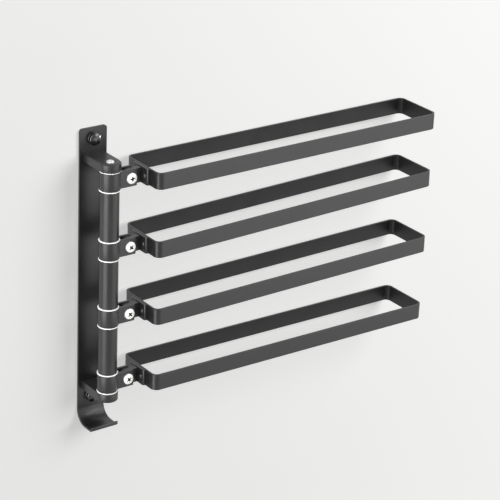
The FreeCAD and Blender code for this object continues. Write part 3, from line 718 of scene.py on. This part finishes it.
def make_lights(wall, flat_faces, wall_screws):
    """The studio's lamps. The left softbox is kept off the flat faces of the loops and the plate,
    which it would turn white at a low angle, and a strip and a haze without gloss stand in for it
    there. Only the window on the right lights the wall, so that the arms draw no crossed shadows
    on it. The two glints are for the wall screws' heads alone."""
    left = softbox("softbox_left", plan=14, elevation=10, distance=1.5, width=1.25, height=2.2,
                   radiance=4.2)
    light_link(left, [wall] + flat_faces, "EXCLUDE")
    strip = softbox("strip_left", plan=14, elevation=-23, distance=1.5, width=0.5, height=0.8,
                    radiance=5.2)
    light_link(strip, flat_faces, "INCLUDE")
    haze = softbox("haze_left", plan=-5, elevation=5, distance=1.5, width=1.2, height=1.8,
                   radiance=2.2)
    haze.visible_glossy = False
    light_link(haze, flat_faces, "INCLUDE")
    reflector = softbox("reflector_low", plan=123, elevation=-13, distance=1.65, width=1.6,
                        height=0.8, radiance=1.45)
    light_link(reflector, [wall], "EXCLUDE")
    softbox("window_right", plan=133, elevation=27, distance=2.2, width=1.5, height=1.6,
            radiance=4.3)
    fill = softbox("fill_by_camera", plan=45, elevation=34, distance=1.9, width=1.3, height=1.3,
                   radiance=3.0)
    light_link(fill, [wall], "EXCLUDE")
    glint_right = softbox("glint_right", plan=156, elevation=-6, distance=1.6, width=0.3,
                          height=0.4, radiance=40.0)
    light_link(glint_right, [wall_screws], "INCLUDE")
    glint_left = softbox("glint_left", plan=10, elevation=0, distance=1.6, width=0.5, height=1.0,
                         radiance=14.0)
    light_link(glint_left, [wall_screws], "INCLUDE")


def make_world():
    """A pale room, seen by the camera and in the rack's gloss. The light that it gives matt
    surfaces is dim in front, as in a studio whose light comes from its softboxes, and pale on
    the wall's side above the horizon, where it stands in for the lit wall."""
    world = bpy.data.worlds.new("studio")
    bpy.context.scene.world = world
    world.use_nodes = True
    tree = world.node_tree
    tree.nodes.clear()
    place = add(tree, "ShaderNodeTexCoord")
    parts = add(tree, "ShaderNodeSeparateXYZ", {"Vector": (place, "Generated")})
    wall_side = add(tree, "ShaderNodeMapRange", {"Value": (parts, "Y"), "From Min": -0.05,
                                                 "From Max": 0.15, "To Min": 0.0, "To Max": 1.0})
    height = add(tree, "ShaderNodeMapRange", {"Value": (parts, "Z"), "From Min": -0.15,
                                              "From Max": 0.2, "To Min": 0.32, "To Max": 1.0})
    wall_light = add(tree, "ShaderNodeMath", {0: (wall_side, 0), 1: (height, 0)},
                     operation="MULTIPLY")
    room = add(tree, "ShaderNodeMath", {0: (wall_light, 0), 1: 0.08}, operation="ADD")
    lit = add(tree, "ShaderNodeBackground", {"Color": (1, 1, 1, 1), "Strength": (room, 0)})
    seen = add(tree, "ShaderNodeBackground", {"Color": srgb(ROOM_COLOUR), "Strength": 1.0})
    path = add(tree, "ShaderNodeLightPath")
    mirrored = add(tree, "ShaderNodeMath", {0: (path, "Is Glossy Ray"),
                                            1: (path, "Is Transmission Ray")}, operation="MAXIMUM")
    shown = add(tree, "ShaderNodeMath", {0: (path, "Is Camera Ray"), 1: (mirrored, 0)},
                operation="MAXIMUM")
    both = add(tree, "ShaderNodeMixShader", {0: (shown, 0), 1: (lit, 0), 2: (seen, 0)})
    add(tree, "ShaderNodeOutputWorld", {"Surface": (both, 0)})


def plaster():
    """Plain pale matt plaster with a little light of its own, so that shadows on it stay pale, as
    on an overexposed backdrop. Away from the rack it fades into a plain wash, and meets the room
    without a line. Seen from behind it is clear, so that the rack's back shows."""
    material, tree = new_material("plain_plaster")
    place = add(tree, "ShaderNodeTexCoord")
    away = add(tree, "ShaderNodeVectorMath", {0: (place, "Object"), 1: (0.17, 0, 0)},
               operation="DISTANCE")
    share = add(tree, "ShaderNodeMapRange", {"Value": (away, "Value"), "From Min": 0.3,
                                             "From Max": 0.9, "To Min": 0.0, "To Max": 1.0})
    matt = add(tree, "ShaderNodeBsdfDiffuse", {"Color": srgb("#dbdbda")})
    glow = add(tree, "ShaderNodeEmission", {"Color": srgb("#bebebd")})
    near = add(tree, "ShaderNodeAddShader", {0: (matt, 0), 1: (glow, 0)})
    wash = add(tree, "ShaderNodeEmission", {"Color": srgb(ROOM_COLOUR)})
    front = add(tree, "ShaderNodeMixShader", {0: (share, 0), 1: (near, 0), 2: (wash, 0)})
    side = add(tree, "ShaderNodeNewGeometry")
    clear = add(tree, "ShaderNodeBsdfTransparent")
    both = add(tree, "ShaderNodeMixShader", {0: (side, "Backfacing"), 1: (front, 0), 2: (clear, 0)})
    finish_material(tree, both)
    return material


WALL_OFFSET = 0.3 * MM   # behind the plate's back, so that the two don't coincide
WALL_REACH = 3.0


def make_stage():
    """The wall behind the rack, a plane that only the camera sees. It catches the rack's shadow and
    casts none, so it doesn't stand between the rack and the light."""
    mesh = bpy.data.meshes.new("stage_wall")
    corners = [(-WALL_REACH, WALL_OFFSET, -WALL_REACH), (WALL_REACH, WALL_OFFSET, -WALL_REACH),
               (WALL_REACH, WALL_OFFSET, WALL_REACH), (-WALL_REACH, WALL_OFFSET, WALL_REACH)]
    mesh.from_pydata(corners, [], [(0, 1, 2, 3)])
    plane = bpy.data.objects.new("stage_wall", mesh)
    plane.data.materials.append(plaster())
    plane.visible_diffuse = plane.visible_glossy = plane.visible_transmission = False
    plane.visible_shadow = False
    bpy.context.collection.objects.link(plane)
    return plane


# ---- the rack --------------------------------------------------------------------------------
FRAME_NODES = ("back_plate", "upper_bracket", "lower_bracket")

black = powder_coat()
# A darker copy of the coat for the loops' inner faces: painted shade.
inner_shade_black = inner_shade_coat()
screw_black = black_screw_finish()
plated = plated_steel()
# Painted shade for the bottom of the cross recesses.
shaded_recess = recess_shade_material()
nylon = moulded_nylon()

for node in FRAME_NODES:
    dress(node, black)
    break_edges(node)
for node in ("upper_bracket_screws", "lower_bracket_screws"):
    dress(node, screw_black)
dress("rod_screw", plated)
pivot(turned_steel(hinge("swing_1")))
loops = []
for arm in ARMS:
    for node in (f"knuckle_{arm}", f"arm_bracket_{arm}"):
        dress(node, black)
        break_edges(node)
    dress(f"arm_rivets_{arm}", black)
    dress(f"clamp_nut_{arm}", plated)
    cross_screw(arm, plated, shaded_recess)
    flanged_bushes(arm, nylon)
    loops.append(arm_loop(arm, black, inner_shade_black))
for index in SPACERS:
    sleeve(index, black)
wall_screws = wall_screw_pair(screw_black)

make_camera()
make_world()
make_lights(make_stage(), loops + [NODES["back_plate"]], wall_screws)
bpy.context.scene.view_settings.view_transform = "Standard"
